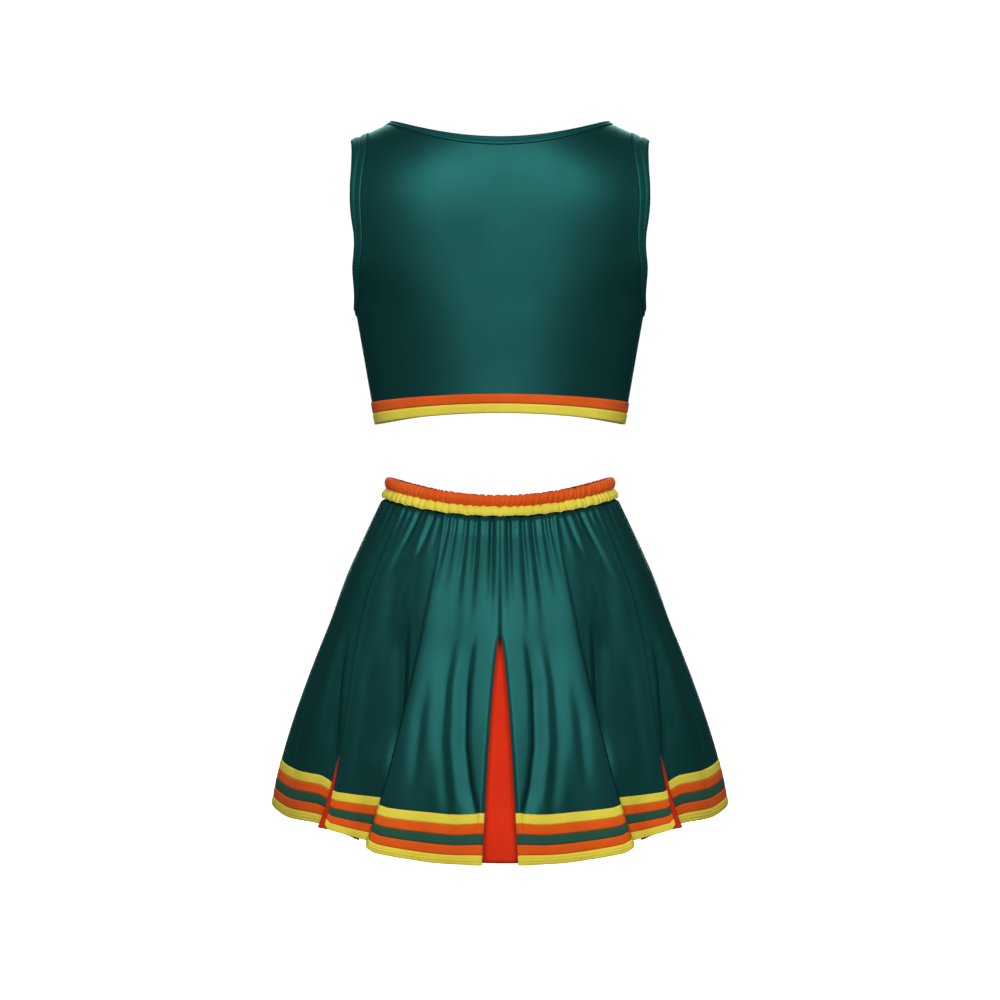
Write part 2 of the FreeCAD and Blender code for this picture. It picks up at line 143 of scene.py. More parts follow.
def make_knit():
    """Rows of knit loops, for a place in metres. Height is the loops' relief, and Tone how light
    the yarn lies: it drifts over a hand's breadth and flecks from loop to loop."""
    tree = bpy.data.node_groups.new("knit", "ShaderNodeTree")
    tree.interface.new_socket(name="Place", in_out="INPUT", socket_type="NodeSocketVector")
    group_input(tree, "Loop size", "NodeSocketFloat", 0.0007)
    group_input(tree, "Fleck", "NodeSocketFloat", 0.3)
    tree.interface.new_socket(name="Height", in_out="OUTPUT", socket_type="NodeSocketFloat")
    tree.interface.new_socket(name="Tone", in_out="OUTPUT", socket_type="NodeSocketFloat")
    start = tree.nodes.new("NodeGroupInput")
    end = tree.nodes.new("NodeGroupOutput")
    split = tree.nodes.new("ShaderNodeSeparateXYZ")
    tree.links.new(start.outputs["Place"], split.inputs[0])
    turns = math_node(tree, "DIVIDE", 2 * math.pi, start.outputs["Loop size"])
    wale = math_node(tree, "SINE", math_node(tree, "MULTIPLY", split.outputs["X"], turns))
    lean = math_node(tree, "MULTIPLY", math_node(tree, "ABSOLUTE", wale), 1.6)
    course = math_node(tree, "MULTIPLY", math_node(tree, "MULTIPLY", split.outputs["Y"], turns), 1.3)
    loops = math_node(tree, "SINE", math_node(tree, "ADD", course, lean))
    ribs = math_node(tree, "MULTIPLY", wale, 0.3)
    relief = math_node(tree, "ADD", ribs, math_node(tree, "MULTIPLY", loops, 0.2))
    tree.links.new(math_node(tree, "ADD", relief, 0.5), end.inputs["Height"])
    drift = noise_node(tree, start.outputs["Place"], 14.0, 3.0)
    fleck = noise_node(tree, start.outputs["Place"], 900.0, 1.0)
    flecks = math_node(tree, "MULTIPLY", math_node(tree, "SUBTRACT", fleck, 0.5), start.outputs["Fleck"])
    tree.links.new(math_node(tree, "ADD", drift, flecks), end.inputs["Tone"])
    return tree


knit = make_knit()


def fabric(name, colour, shade, loop, fleck=0.3, roughness=(0.5, 0.6), relief=0.3, metallic=0.0,
           specular=0.25, sheen=0.05, glow=(1.0, 1.0, 1.0), place="UV"):
    """A knitted cloth: colour is the yarn in the light, shade where it lies darker."""
    material = bpy.data.materials.new(name)
    material.use_nodes = True
    tree = material.node_tree
    shader = tree.nodes["Principled BSDF"]
    where = tree.nodes.new("ShaderNodeTexCoord")
    yarn = tree.nodes.new("ShaderNodeGroup")
    yarn.node_tree = knit
    yarn.inputs["Loop size"].default_value = loop
    yarn.inputs["Fleck"].default_value = fleck
    tree.links.new(where.outputs[place], yarn.inputs["Place"])
    tone = tree.nodes.new("ShaderNodeMapRange")
    tone.inputs["From Min"].default_value = 0.25
    tone.inputs["From Max"].default_value = 0.75
    tree.links.new(yarn.outputs["Tone"], tone.inputs["Value"])
    dye = tree.nodes.new("ShaderNodeMix")
    dye.data_type = "RGBA"
    dye.inputs[6].default_value = (*shade, 1.0)
    dye.inputs[7].default_value = (*colour, 1.0)
    tree.links.new(tone.outputs["Result"], dye.inputs["Factor"])
    tree.links.new(dye.outputs[2], shader.inputs["Base Color"])
    gloss = tree.nodes.new("ShaderNodeMapRange")
    gloss.inputs["To Min"].default_value = roughness[1]
    gloss.inputs["To Max"].default_value = roughness[0]
    tree.links.new(yarn.outputs["Tone"], gloss.inputs["Value"])
    tree.links.new(gloss.outputs["Result"], shader.inputs["Roughness"])
    bump = tree.nodes.new("ShaderNodeBump")
    bump.inputs["Strength"].default_value = relief
    bump.inputs["Distance"].default_value = loop / 2
    tree.links.new(yarn.outputs["Height"], bump.inputs["Height"])
    tree.links.new(bump.outputs["Normal"], shader.inputs["Normal"])
    shader.inputs["Metallic"].default_value = metallic
    shader.inputs["Specular IOR Level"].default_value = specular
    shader.inputs["Specular Tint"].default_value = (*glow, 1.0)
    shader.inputs["Sheen Weight"].default_value = sheen
    shader.inputs["Sheen Roughness"].default_value = 0.4
    shader.inputs["Sheen Tint"].default_value = (*glow, 1.0)
    return material


def dress(piece, material, slot):
    """Gives a piece its cloth. The slot argument is not used."""
    piece.data.materials.clear()
    piece.data.materials.append(material)


orange_knit = fabric("orange knit", ORANGE, ORANGE_SHADE, 0.0008, roughness=(0.5, 0.62), glow=ORANGE)
yellow_knit = fabric("yellow knit", YELLOW, YELLOW_SHADE, 0.0008, roughness=(0.5, 0.62), glow=YELLOW)
elastic_braid = fabric("elastic", (0.75, 0.74, 0.70), (0.55, 0.54, 0.50), 0.0012, relief=0.8, place="Object")


def waist_height(cos_phi):
    """Height of the middle of the waistband, which dips at the back and a little more in front."""
    dip = 0.017 if cos_phi > 0 else 0.022
    return 0.009 - dip * cos_phi * cos_phi


def round_waist(turn, grow, rise):
    """A point round the waist, turn from 0 to 1 starting at the middle of the back."""
    angle = 2 * math.pi * turn
    x = (WAIST_HALF_WIDTH + grow) * math.sin(angle)
    y = (WAIST_HALF_DEPTH + grow) * math.cos(angle)
    return Vector((x, y, waist_height(math.cos(angle)) + rise))


def folded_strip(top, bottom, flare, scallop):
    """The path of a casing's cloth from its seam up the outer wall, over and down inside."""
    def place(turn, v):
        climb = (1 - math.cos(math.pi * min(v, 1 - v) * 2)) / 2
        drawn = scallop * abs(math.sin(math.pi * (SCALLOPS * turn + 0.4 * math.sin(11 * math.pi * turn))))
        rise = mix(bottom + drawn, top, climb)
        outward = flare * (1 - climb) - CASING_WALL * smooth((v - 0.42) / 0.16)
        if v < 0.5:
            outward += CASING_BULGE * math.sin(math.pi * climb)
        return round_waist(turn, outward, rise)
    return place


def gathers(seed, count, depth, lean):
    """The creases that elastic draws in a strip: uneven ones that lean, with puffs between."""
    dice = random.Random(seed)
    creases = [((k + dice.uniform(-0.3, 0.3)) / count, dice.uniform(0.5, 1.2), dice.uniform(-1, 1))
               for k in range(count)]

    def relief(turn, v):
        nearest = int(turn * count)
        sunk = 0.0
        for k in range(nearest - 2, nearest + 3):
            at, weight, slant = creases[k % count]
            away = turn - at - k // count + (slant + lean) * (v - 0.25) / count
            sunk += weight * math.exp(-(away * count / 0.22) ** 2)
        return depth * (0.45 - sunk) * smooth(min(v, 1 - v) / 0.06 + 0.25)
    return relief


for name, material, elastic, shape, ruching in (
        ("orange", orange_knit, "waist_elastic_upper",
         (CASING_TOP, CASING_SEAM, 0.0, 0.0), gathers(3, 132, 0.0015, 1.1)),
        ("yellow", yellow_knit, "waist_elastic_lower",
         (CASING_SEAM + 0.0004, CASING_BOTTOM, CASING_FLARE, 0.0011), gathers(8, 84, 0.0013, -0.2))):
    strip = (2 * math.pi * ELASTIC_RADIUS * CASING_GATHERING, 2 * (shape[0] - shape[1]) + CASING_WALL)
    casing = cloth(f"waist_casing_{name}_ruched", folded_strip(*shape), 900, 22, strip, ruching, ring=True)
    dress(casing, material, f"{name}_knit")
    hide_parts(f"waist_casing_{name}")
    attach(casing, "waistband")
for name in ("waist_elastic_upper", "waist_elastic_lower"):
    dress(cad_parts[name], elastic_braid, "elastic")


# ---- Gores ---------------------------------------------------------------------------------------
# Twelve panels of dark green satin-faced knit, three in each quarter, gathered into the waist seam
# and flaring to the hem. Each one's outer edge rolls over the next, and long soft folds hang down.

SKIRT_LENGTH = 0.350
HEM_HALF_WIDTH = 0.249
HEM_HALF_DEPTH = 0.254
SIDE_HEM = -0.3365
TOP_HALF_WIDTH = 0.1215
TOP_HALF_DEPTH = 0.098
WAIST_SEAM = 0.0060
CLOTH = 0.0009
SEWN_SHUT = 0.0001
UNDER_CASING = -0.0015
CORNER_LIFT = 0.004
SEWN_TO = 0.365
QUARTERS = (("back_left", 1, 1), ("back_right", -1, 1), ("front_left", 1, -1), ("front_right", -1, -1))

CENTRE_HALF_GAP = 0.0179
SIDE_HALF_GAP = 0.006
GATHER_WIDTH = 0.0027

GREEN = (0.0110, 0.080, 0.074)
GREEN_SHADE = (0.0086, 0.063, 0.058)


def skirt_heights(cos_phi):
    """Heights of the waist seam and of the hem."""
    drop = 0.0125 if cos_phi > 0 else 0.0085
    return waist_height(cos_phi) - WAIST_SEAM, SIDE_HEM - drop * cos_phi * cos_phi


def reach(s, waist, hem):
    return mix(waist, hem, 1.0 - (1.0 - s) ** 1.3)


def signed_power(value, power):
    return math.copysign(abs(value) ** power, value)


def skirt_point(phi, s, inset, side, face):
    """A point of the skirt, phi degrees round from the middle of the back or front and a share s
    of the way from waist to hem."""
    a = reach(s, TOP_HALF_WIDTH, HEM_HALF_WIDTH)
    b = reach(s, TOP_HALF_DEPTH, HEM_HALF_DEPTH)
    n = 2.0 - 0.5 * s
    angle = math.radians(phi)
    x = a * signed_power(math.sin(angle), 2 / n)
    y = b * signed_power(math.cos(angle), 2 / n)
    out = Vector((signed_power(x / a, n - 1) / a, signed_power(y / b, n - 1) / b)).normalized()
    top, hem = skirt_heights(face * abs(math.cos(angle)))
    return Vector((side * (x - inset * out.x), face * (y - inset * out.y), mix(top, hem, s)))


def inner_seam(s):
    return 26.0 + 12.0 * s ** 1.8


def outer_seam(s):
    return 52.5 - 2.5 * s + 3.0 * math.sin(math.pi * min(1.0, s / 0.66)) ** 2


def pleat_opening(s, half_gap, span):
    """Half of an inverted pleat's opening in degrees: sewn shut above, opening to the hem."""
    t = max(0.0, (s - SEWN_TO) / (1 - SEWN_TO))
    half = mix(SEWN_SHUT, half_gap, t ** 0.62)
    return math.degrees(math.asin((half / span) ** (1.0 - 0.25 * s)))


def gore_limits(number, s):
    under = 0.4 + 4.0 * s
    if number == 1:
        span = reach(s, WAIST_HALF_WIDTH, HEM_HALF_WIDTH)
        return pleat_opening(s, CENTRE_HALF_GAP, span), inner_seam(s)
    if number == 2:
        return inner_seam(s) - under, outer_seam(s)
    span = reach(s, WAIST_HALF_DEPTH, HEM_HALF_DEPTH)
    return outer_seam(s) - under, 90.0 - pleat_opening(s, SIDE_HALF_GAP, span)


def hem_hang(number, u):
    """How each gore's hem hangs off the skirt's mean line: how far its edge is raised, and how
    much it kicks out over the last stretch, drawn down and inward above the hem."""
    if number == 1:
        drawn = 0.003 * smooth(u / 0.3) + 0.004 * smooth((u - 0.5) / 0.5)
        return -0.0035 * math.sin(math.pi * min(1.0, u / 1.2)) ** 2, drawn, 0.0
    if number == 2:
        return 0.0055, mix(0.0020, 0.0115, u), 0.007
    raised = 0.0072 * (1 - smooth((u - 0.15) / 0.45))
    drawn = 0.013 * (1 - smooth(u / 0.27)) - 0.0013
    return raised, drawn, 0.007 * (1 - smooth(u / 0.5))


def last_stretch(s):
    """The share of a hem's kick and draw at s: 1 a little above the hem, 0 at waist and hem."""
    return 12.2 * (1 - s) * s ** 4


def gore_place(number, side, face):
    def place(u, s):
        low, high = gore_limits(number, s)
        rise, drawn, kick = hem_hang(number, u)
        above_hem = last_stretch(s)
        point = skirt_point(mix(low, high, u), s, kick * above_hem, side, face)
        point.z += rise * s ** 3 - drawn * above_hem
        if number < 3:
            point.z += CORNER_LIFT * smooth((u - 0.88) / 0.12) * s ** 6
        return point
    return place


# Each gather is where it starts across the gore, how far it drifts outward on its way down, its
# depth in metres and the share of the skirt that it runs down.
GATHERS = {
    1: ((0.150, 0.02, 0.0034, 0.36), (0.270, 0.03, 0.0014, 0.20), (0.400, 0.05, 0.0034, 0.42),
        (0.490, 0.04, 0.0016, 0.22), (0.590, 0.06, 0.0036, 0.36), (0.690, 0.05, 0.0016, 0.20),
        (0.780, 0.06, 0.0034, 0.34), (0.920, 0.02, 0.0030, 0.28)),
    2: ((0.12, 0.2, 0.0012, 0.18), (0.26, 0.8, 0.0024, 0.30), (0.43, 0.6, 0.0012, 0.16),
        (0.56, 0.8, 0.0026, 0.32), (0.74, 0.3, 0.0014, 0.20), (0.88, 0.1, 0.0018, 0.24)),
    3: ((0.12, 0.1, 0.0010, 0.22), (0.27, 0.1, 0.0012, 0.20), (0.45, 0.1, 0.0010, 0.24),
        (0.62, 0.1, 0.0013, 0.20), (0.80, 0.0, 0.0010, 0.22), (0.93, 0.0, 0.0012, 0.20)),
}

# Each long fold is a valley: its depth, its width on the inner and on the outer side, and points
# (share of the way down, share of the way across) that it passes through.
FOLDS = {
    1: ((0.0054, 0.0040, 0.0110, ((0.50, 0.35), (0.66, 0.29), (0.78, 0.19), (0.86, 0.09))),
        (0.0026, 0.0060, 0.0090, ((0.50, 0.60), (0.66, 0.53), (0.84, 0.38))),
        (0.0018, 0.0060, 0.0060, ((0.60, 0.80), (0.76, 0.74)))),
    2: ((0.0060, 0.0120, 0.0150, ((0.26, 0.54), (0.50, 0.46), (0.70, 0.40))),
        (0.0060, 0.0060, 0.0090, ((0.42, 0.34), (0.60, 0.26), (0.80, 0.15))),
        (0.0020, 0.0080, 0.0080, ((0.50, 0.75), (0.80, 0.70)))),
    3: ((0.0040, 0.0060, 0.0090, ((0.55, 0.26), (0.66, 0.22), (0.78, 0.18))),
        (0.0030, 0.0120, 0.0120, ((0.45, 0.62), (0.85, 0.56)))),
}


def fold_path(points, s):
    """Where across the gore a fold runs at s, and how deep it is there, from 0 to 1."""
    shares = [p[0] for p in points]
    across = points[0][1] if s < shares[0] else points[-1][1]
    for (s0, u0), (s1, u1) in zip(points, points[1:]):
        if s0 <= s <= s1:
            across = mix(u0, u1, (s - s0) / (s1 - s0))
    return across, smooth((s - shares[0] + 0.16) / 0.20) * smooth((shares[-1] + 0.08 - s) / 0.16)


def gore_relief(number, widths, seed):
    """How far a gore stands off the skirt's mean surface, with its gathers, folds and rolled edge."""
    dice = random.Random(seed)
    pulls = [(u + dice.uniform(-0.012, 0.012), drift,
              depth * dice.uniform(0.85, 1.15), run * dice.uniform(0.9, 1.1))
             for u, drift, depth, run in GATHERS[number]]

    def relief(u, s):
        width = mix(*widths, s)
        stand = 0.0035 * (1 - smooth((s - 0.24) / 0.20))
        if number == 1:
            stand += 0.003 * (1 - smooth((s - 0.022) / 0.06))
        if number < 3:
            stand += (0.003 + 0.007 * s) * smooth((u - 0.55) / 0.45)
            stand -= 0.006 * s * smooth((u - 0.94) / 0.06) ** 2
        if number > 1:
            stand -= (0.002 + 0.004 * s) * smooth((0.45 - u) / 0.45)
        stand = mix(UNDER_CASING, stand, smooth((s - 0.008) / 0.024))
        if number == 1:
            stand -= 0.003 * s * smooth((0.05 - u) / 0.05)
        for start, drift, depth, run in pulls:
            away = (u - start - drift * s) * width / (GATHER_WIDTH * (1 + 2.2 * s))
            if abs(away) < 3:
                stand -= depth * math.exp(-away * away) * (1 - smooth(s / run))
        for depth, inner, outer, points in FOLDS[number]:
            across, strength = fold_path(points, s)
            away = (u - across) * width
            away /= inner if away < 0 else outer
            if strength and abs(away) < 3:
                stand -= depth * strength * math.exp(-away * away)
        return stand
    return relief


satin = fabric("green satin knit", GREEN, GREEN_SHADE, 0.0006, roughness=(0.38, 0.46), relief=0.12,
               metallic=0.7, specular=0.06, sheen=0.02, glow=(0.05, 0.5, 0.45))

gore_shapes = {}
for index, (quarter, side, face) in enumerate(QUARTERS):
    for number in (1, 2, 3):
        name = f"gore_{quarter}_{number}"
        place = gore_place(number, side, face)
        widths = [sum((place(k / 8, s) - place((k + 1) / 8, s)).length for k in range(8)) for s in (0, 1)]
        relief = gore_relief(number, widths, 10 * index + number)
        flat = (widths[1], SKIRT_LENGTH)
        gore = cloth(f"{name}_satin", place, 84, 130, flat, relief, CLOTH)
        dress(gore, satin, "green_knit")
        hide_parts(name)
        seam = max(place(u, 0).z for u in (0, 0.5, 1))
        gore_shapes[quarter, number] = (place, relief, widths)
        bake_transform(gore)


# ---- Hem braid -----------------------------------------------------------------------------------
# Flat polyester braid stitched round each gore's hem: yellow, orange, a duller green over the
# gore's own, orange and yellow. The lowest is the hem itself, with two rows of topstitching.

STRIPE = 0.0102
BRAID = 0.0007
TOPSTITCHING = (0.40, 0.68)

BRAID_ORANGE = (0.84, 0.125, 0.014)
BRAID_YELLOW = (0.86, 0.74, 0.080)

orange_braid = fabric("orange braid", BRAID_ORANGE, (0.66, 0.080, 0.009), 0.0011, fleck=0.5, relief=0.6,
                      glow=BRAID_ORANGE)
yellow_braid = fabric("yellow braid", BRAID_YELLOW, (0.68, 0.55, 0.05), 0.0011, fleck=0.5, relief=0.6,
                      glow=BRAID_YELLOW)
green_braid = fabric("green braid", (0.024, 0.096, 0.060), (0.017, 0.072, 0.046), 0.0011, fleck=0.5,
                     relief=0.6, glow=(0.1, 0.5, 0.35))
braids = {"yellow": (yellow_braid, (0, 4), "yellow_braid"),
          "orange": (orange_braid, (1, 3), "orange_braid"),
          "green": (green_braid, (2,), "green_knit")}

for (quarter, number), (place, relief, widths) in gore_shapes.items():
    for colour, (material, stripes, slot) in braids.items():
        bands = []
        for stripe in stripes:
            low = 1.0 - stripe * STRIPE / SKIRT_LENGTH
            high = low - STRIPE / SKIRT_LENGTH
            fuller, rows = (0.0006, 20) if stripe == 0 else (0.0, 8)

            def band_place(u, v):
                return place(u, mix(high, low, v))

            def band_relief(u, v):
                rise = BRAID * smooth(min(v, 1 - v) / 0.08 + 0.4) + fuller * math.sin(math.pi * v)
                for row in TOPSTITCHING:
                    rise -= 0.8 * fuller * math.exp(-((v - row) / 0.05) ** 2)
                return relief(u, mix(high, low, v)) + rise
            bands.append(cloth(f"hem_braid_{colour}_{quarter}_{number}_{stripe}", band_place, 84, rows,
                               (widths[1], STRIPE), band_relief, BRAID * 0.9))
        bpy.ops.object.select_all(action="DESELECT")
        for band in bands:
            band.select_set(True)
        bpy.context.view_layer.objects.active = bands[0]
        if len(bands) > 1:
            bpy.ops.object.join()
        braid = bands[0]
        braid.name = f"hem_braid_{colour}_{quarter}_{number}_woven"
        dress(braid, material, slot)
        if colour != "green":
            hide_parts(f"hem_braid_{colour}_{quarter}_{number}")
        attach(braid, f"gore_{quarter}_{number}")


# ---- Pleat insets --------------------------------------------------------------------------------
# Orange-red knit godets behind the seams. Those at the middle of the back, the front and the sides
# show in an open inverted pleat; the others lie under a knife pleat and show as a sliver.

INSET_RED = (0.66, 0.034, 0.010)
INSET_SHADE = (0.57, 0.024, 0.008)

inset_knit = fabric("orange-red knit", INSET_RED, INSET_SHADE, 0.0007, roughness=(0.45, 0.55), relief=0.2,
                    metallic=0.1, specular=0.12, glow=INSET_RED)


def knife_inset(seam, wings, back, front, side, face):
    """An inset that spans from before its seam to after it, at its own depths inside the skirt."""
    def place(u, s):
        width = mix(0.12, 1.0, s)
        phi = seam(s) + width * mix(-wings[0], wings[1], u)
        depth = mix(back[0] + back[1] * s, front[0] + front[1] * s, smooth(u))
        return skirt_point(phi, s, depth, side, face)
    return place


def inverted_inset(turn, face):
    """An inset that crosses the middle of the back or front (turn 0) or of a side (turn 1, -1)."""
    def place(u, s):
        width = reach(s, TOP_HALF_WIDTH, HEM_HALF_WIDTH)
        length = reach(s, TOP_HALF_DEPTH, HEM_HALF_DEPTH)
        near, far = (width, length) if turn else (length, width)
        n = 2.0 - 0.5 * s
        across = mix(0.008, 0.066, s) * (2 * u - 1)
        soft = math.hypot(across, 0.030) - 0.030
        out = near * (1 - (soft / far) ** n) ** (1 / n)
        slope = (near / far) ** n * (soft / out) ** (n - 1)
        out -= (0.007 + 0.008 * s) * math.hypot(1, slope)
        top, hem = skirt_heights(across / far if turn else face * math.sqrt(1 - (across / far) ** 2))
        x, y = (turn * out, across) if turn else (across, face * out)
        return Vector((x, y, mix(top, hem, s)))
    return place


def soft_hang(u, s):
    hollow = -0.004 * s * math.exp(-((u - 0.46) / 0.10) ** 2) * (1 - smooth((s - 0.80) / 0.20))
    return hollow + 0.0012 * s * math.sin(2 * math.pi * (2.2 * u + 0.3 * s)) * math.sin(math.pi * u)


insets = {"back_centre": inverted_inset(0, 1), "front_centre": inverted_inset(0, -1),
          "side_left": inverted_inset(1, 1), "side_right": inverted_inset(-1, 1)}
for quarter, side, face in QUARTERS:
    insets[f"{quarter}_1"] = knife_inset(inner_seam, (10.0, 5.5), (0.007, 0.014), (0.007, 0.017), side, face)
    insets[f"{quarter}_2"] = knife_inset(outer_seam, (7.0, 6.0), (0.008, 0.002), (0.012, 0.012), side, face)
for where, place in insets.items():
    name = f"pleat_inset_{where}"
    hem_width = sum((place(k / 8, 1) - place((k + 1) / 8, 1)).length for k in range(8))
    inset = cloth(f"{name}_knit", place, 32, 80, (hem_width, SKIRT_LENGTH), soft_hang, CLOTH)
    dress(inset, inset_knit, "inset_knit")
    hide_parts(name)
    seam = place(0.5, 0).z
    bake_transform(inset)

# The fold of each outer knife pleat's inset shows past the edge of the second gore, near the hem.
FOLD_TOP = 0.74
for quarter, side, face in QUARTERS:
    def fold_place(u, v):
        s = mix(FOLD_TOP, 1.0, v)
        phi = outer_seam(s) + mix(-1.6, 2.5 * v ** 0.6, u)
        rise, drawn, kick = hem_hang(2, 1.0)
        above_hem = last_stretch(s)
        point = skirt_point(phi, s, mix(0.001, -0.005, u) + kick * above_hem, side, face)
        point.z += rise * s ** 3 - drawn * above_hem
        return point
    fold_cut = (0.021, SKIRT_LENGTH * (1 - FOLD_TOP))
    fold = cloth(f"pleat_fold_{quarter}", fold_place, 8, 30, fold_cut, None, CLOTH)
    dress(fold, inset_knit, "inset_knit")
    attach(fold, f"gore_{quarter}_2")


# ---- Bodices -------------------------------------------------------------------------------------
# The fitted sleeveless top: a back and a front of the same green satin knit, joined at the sides
# and shoulders and stretched smooth over the body.

RIDGE = 0.4446
TORSO_BOTTOM = 0.050
SHOULDER_START = 0.225
ARMHOLE_MIDDLE = 0.294
ARMHOLE_HALF_HEIGHT = 0.090
ARMHOLE_HALF_DEPTH = 0.052
NECK_HALF_WIDTH = 0.118
NECK_POINT = 0.4044
BACK_NECK = 0.377
FRONT_NECK = 0.305
BINDING = 0.009
BACK_HEM = 0.0885
FRONT_HEM = 0.094
TOP_SIDE_HEM = 0.0783
TOP_BAND = 0.010
TUCKED_UNDER = 0.002
SEARCH_STEPS = 36
TOP_CLOTH = 0.0012
TOP_HEM_HALF_WIDTH = 0.133
SHOULDER_SLOPE = 0.464
SHOULDER_ROUND = 0.035
SHOULDER_FOOT = 0.186


def torso_half_width(height):
    spread = 0.013 * smooth((height - 0.191) / 0.070) + 0.012 * smooth((height - 0.280) / 0.120)
    return TOP_HEM_HALF_WIDTH + 0.172 * (min(height, 0.196) - 0.063) + spread


def torso_half_depth(height, face):
    if face > 0:
        return 0.086 + 0.008 * smooth((height - 0.063) / 0.150)
    return 0.086 + 0.026 * smooth((height - 0.090) / 0.150)


def climb_steps():
    """Heights up the torso and over to the shoulder line, with how far the depth has closed."""
    steps = [(mix(TORSO_BOTTOM, SHOULDER_START, k / 80), 1.0) for k in range(80)]
    for k in range(241):
        angle = math.pi / 2 * (k / 240) ** 1.5
        steps.append((mix(SHOULDER_START, RIDGE, math.sin(angle) ** (2 / 3)), math.cos(angle)))
    lengths = [0.0]
    for (h0, c0), (h1, c1) in zip(steps, steps[1:]):
        lengths.append(lengths[-1] + math.hypot(h1 - h0, 0.1 * (c1 - c0)))
    return [(length / lengths[-1], *step) for length, step in zip(lengths, steps)]


CLIMB = climb_steps()


def climb(level):
    """The height and closing at a level, from 0 at the bottom of the torso to 1 on the shoulder."""
    low, high = 0, len(CLIMB) - 1
    while high - low > 1:
        middle = (low + high) // 2
        if CLIMB[middle][0] <= level:
            low = middle
        else:
            high = middle
    t = (level - CLIMB[low][0]) / (CLIMB[high][0] - CLIMB[low][0])
    return mix(CLIMB[low][1], CLIMB[high][1], t), mix(CLIMB[low][2], CLIMB[high][2], t)


def shoulder_drop(x, height):
    """How far the shoulder line falls towards the arm, at x from the middle."""
    along = math.hypot(x, SHOULDER_ROUND) - SHOULDER_ROUND
    return SHOULDER_SLOPE * along * smooth((height - SHOULDER_FOOT) / (RIDGE - SHOULDER_FOOT))


def roundness(height):
    return 2.0 + 0.7 * smooth((height - 0.150) / 0.200)


def torso_point(phi, level, face):
    """A point of the torso, phi degrees round from the middle of the back or front."""
    height, closing = climb(level)
    n = roundness(height)
    angle = math.radians(phi)
    x = torso_half_width(height) * signed_power(math.sin(angle), 2 / n)
    y = torso_half_depth(height, face) * closing * max(0.0, math.cos(angle)) ** (2 / n)
    return Vector((x, face * y, height - shoulder_drop(x, height)))


def search(above, low=0.0, high=1.0):
    """The level where above(level) turns true."""
    for _ in range(SEARCH_STEPS):
        middle = (low + high) / 2
        if above(middle):
            high = middle
        else:
            low = middle
    return (low + high) / 2


def behind(x, z):
    """The place on the torso straight behind or in front of a point (x, z), as (phi, level)."""
    def above(level):
        height = climb(level)[0]
        return height - shoulder_drop(x, height) > z
    level = search(above)
    height = climb(level)[0]
    sine = min(1.0, abs(x) / torso_half_width(height)) ** (roundness(height) / 2)
    return math.degrees(math.asin(sine)), level


def beside(y, z, face):
    """The place on the left of the torso straight beside a point (y, z), as (phi, level)."""
    y = max(abs(y), 0.00004)

    def phi_at(level):
        height, closing = climb(level)
        depth = torso_half_depth(height, face) * closing
        return math.degrees(math.acos(min(1.0, y / max(depth, 1e-9)) ** (roundness(height) / 2)))

    def above(level):
        phi = phi_at(level)
        return abs(torso_point(phi, level, face).z) > z or phi <= 0.0
    level = search(above, 0.3)
    return phi_at(level), level


def neck_outline(margin, face):
    """The neckline as (x, z) for t from -1 to 1, ending on the shoulder line: a shallow arc at
    the back, a deeper scoop in front."""
    half = NECK_HALF_WIDTH + margin
    low = (BACK_NECK if face > 0 else FRONT_NECK) - margin
    rise = NECK_POINT - low
    radius = (half * half + rise * rise) / (2 * rise)
    widest = math.asin(half / radius) if face > 0 else math.pi / 2

    def at(angle):
        if face > 0:
            return radius * math.sin(angle), low + radius * (1 - math.cos(angle))
        return half * signed_power(math.sin(angle), 2 / 2.15), low + rise * (1 - math.cos(angle))

    def over_shoulder(angle):
        x, z = at(angle)
        return z > RIDGE - shoulder_drop(x, RIDGE)
    end = search(over_shoulder, 0.6 * widest, widest)
    return lambda t: at(t * end)


def armhole_outline(angle, margin):
    """The armhole as (y, z), angle from -90 degrees at the underarm to 90 at the shoulder."""
    return ((ARMHOLE_HALF_DEPTH + margin) * math.cos(angle),
            ARMHOLE_MIDDLE + (ARMHOLE_HALF_HEIGHT + margin) * math.sin(angle))


def hem_level(phi, rise, face):
    """The level of the top's hem line, raised by rise, which arches up at the middle."""
    hem = BACK_HEM if face > 0 else FRONT_HEM

    def above(level):
        point = torso_point(phi, level, face)
        outward = (point.x / TOP_HEM_HALF_WIDTH) ** 2
        return point.z > hem + rise * (1 + 0.2 * outward) - (hem - TOP_SIDE_HEM) * outward
    return search(above)


